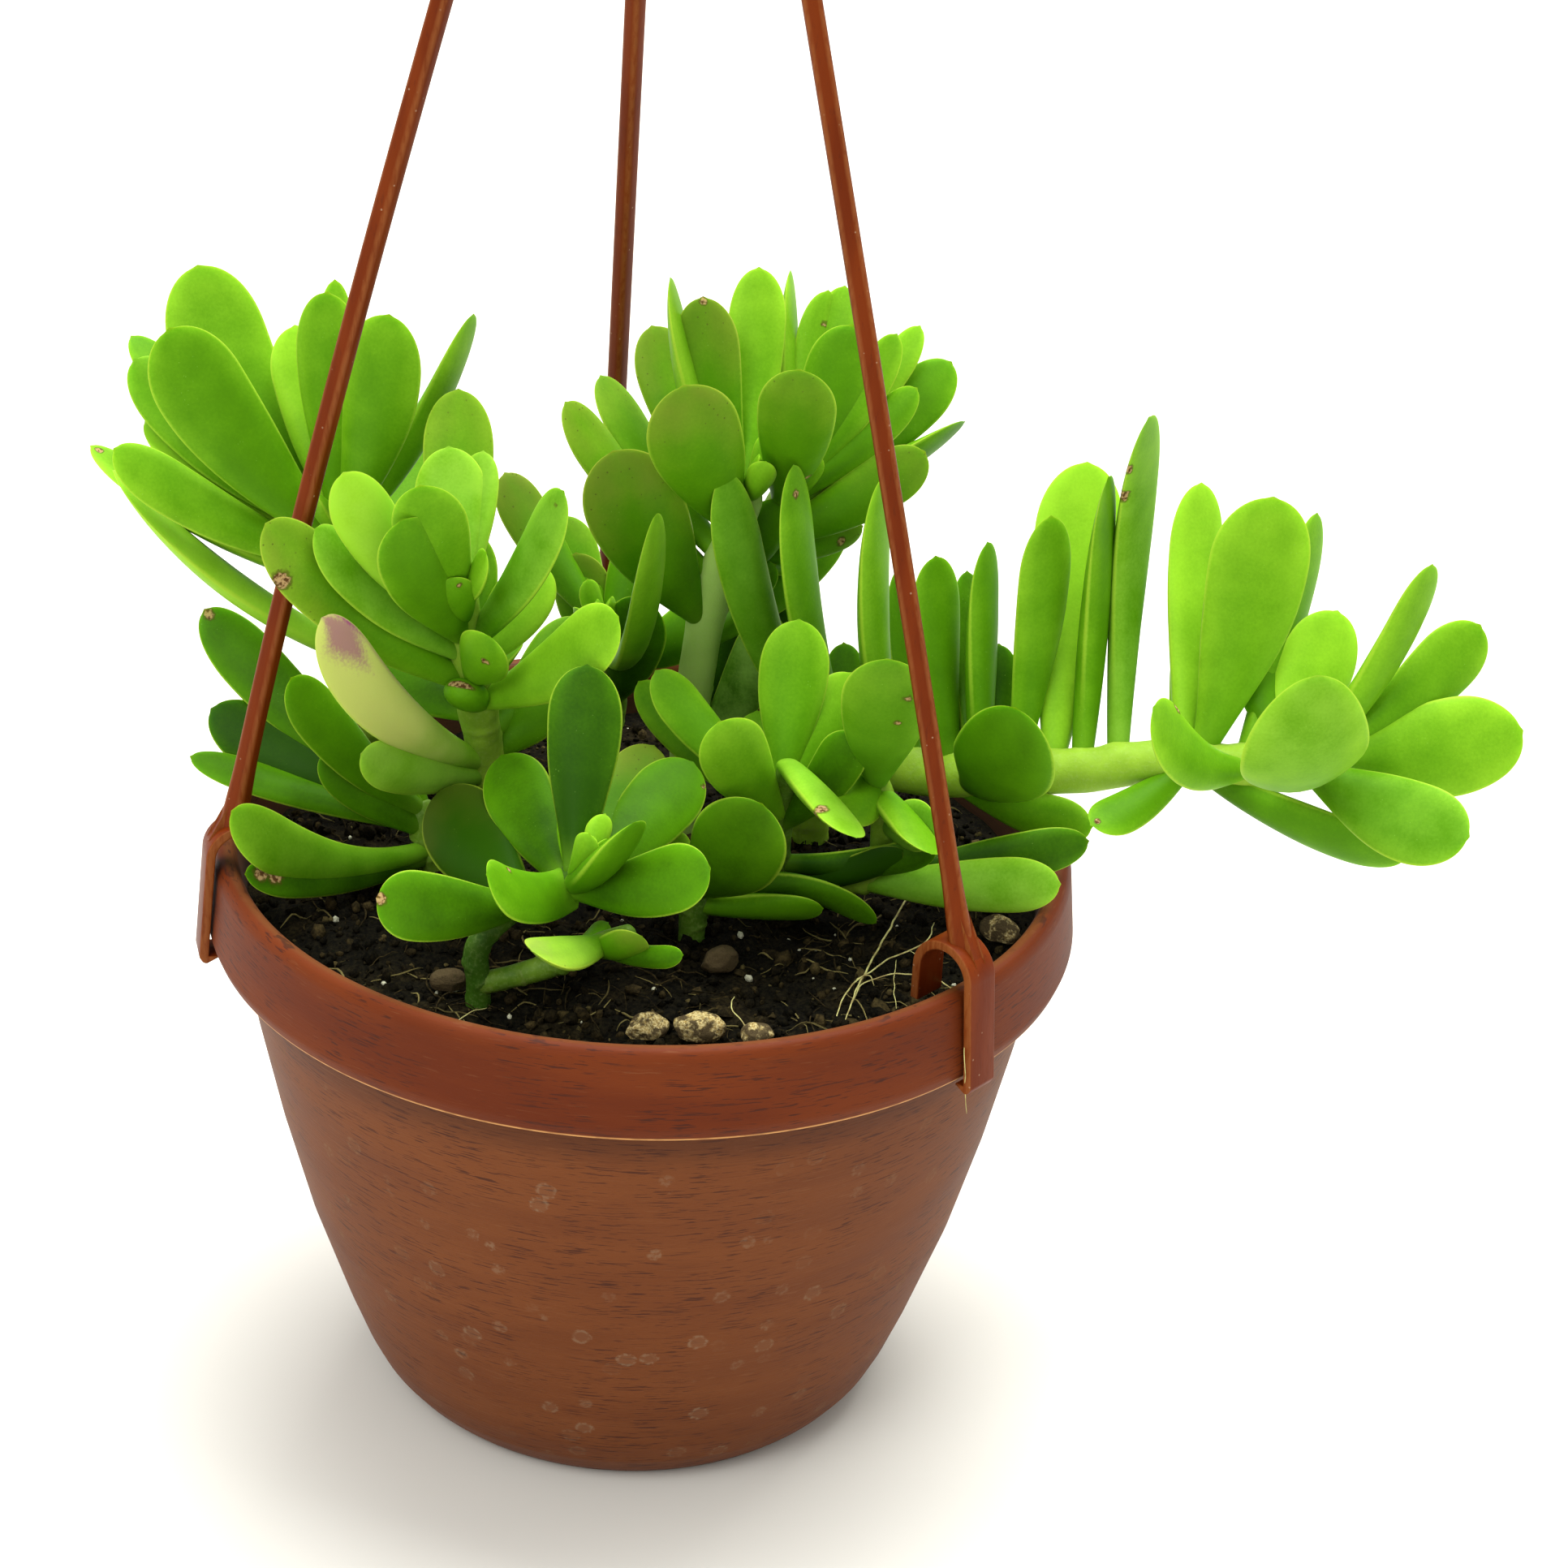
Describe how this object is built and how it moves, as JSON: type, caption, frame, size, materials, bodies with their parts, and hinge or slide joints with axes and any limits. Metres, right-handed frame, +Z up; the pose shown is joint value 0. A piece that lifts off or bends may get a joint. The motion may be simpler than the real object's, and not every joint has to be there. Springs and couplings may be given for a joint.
{
  "type": "potted senecio jacobsenii in a hanging pot",
  "caption": "Trailing succulent with fleshy upright leaves in a round brown plastic pot with its clipped-on hanger and open hook.",
  "frame": {"origin": "centre of the underside of the pot's base", "axes": "+Z up, -Y towards the front that the picture shows, +X to the right, where the long shoot leans out"},
  "size_m": [0.262, 0.1619, 0.4342],
  "materials": {
    "pot": "matt, faint turned grooves, lime spots",
    "hanger": "satin",
    "soil": "crumbly, fibrous",
    "stone": "rough",
    "plant": "waxy satin"
  },
  "bodies": {
    "root": {"pot": "pot", "soil": "soil", "stone_1": "stone", "stone_2": "stone", "stone_3": "stone", "stone_4": "stone", "stone_5": "stone", "stone_6": "stone", "shoot_left_tall": "plant", "shoot_centre_left": "plant", "shoot_back_small": "plant", "shoot_centre_back": "plant", "shoot_right_arching": "plant", "shoot_centre": "plant", "shoot_front": "plant", "shoot_left_low": "plant", "shoot_low_small": "plant", "hanger_strand_right": "hanger", "hanger_strand_left": "hanger", "hanger_strand_back": "hanger", "hanger_hook": "hanger"}
  },
  "joints": []
}
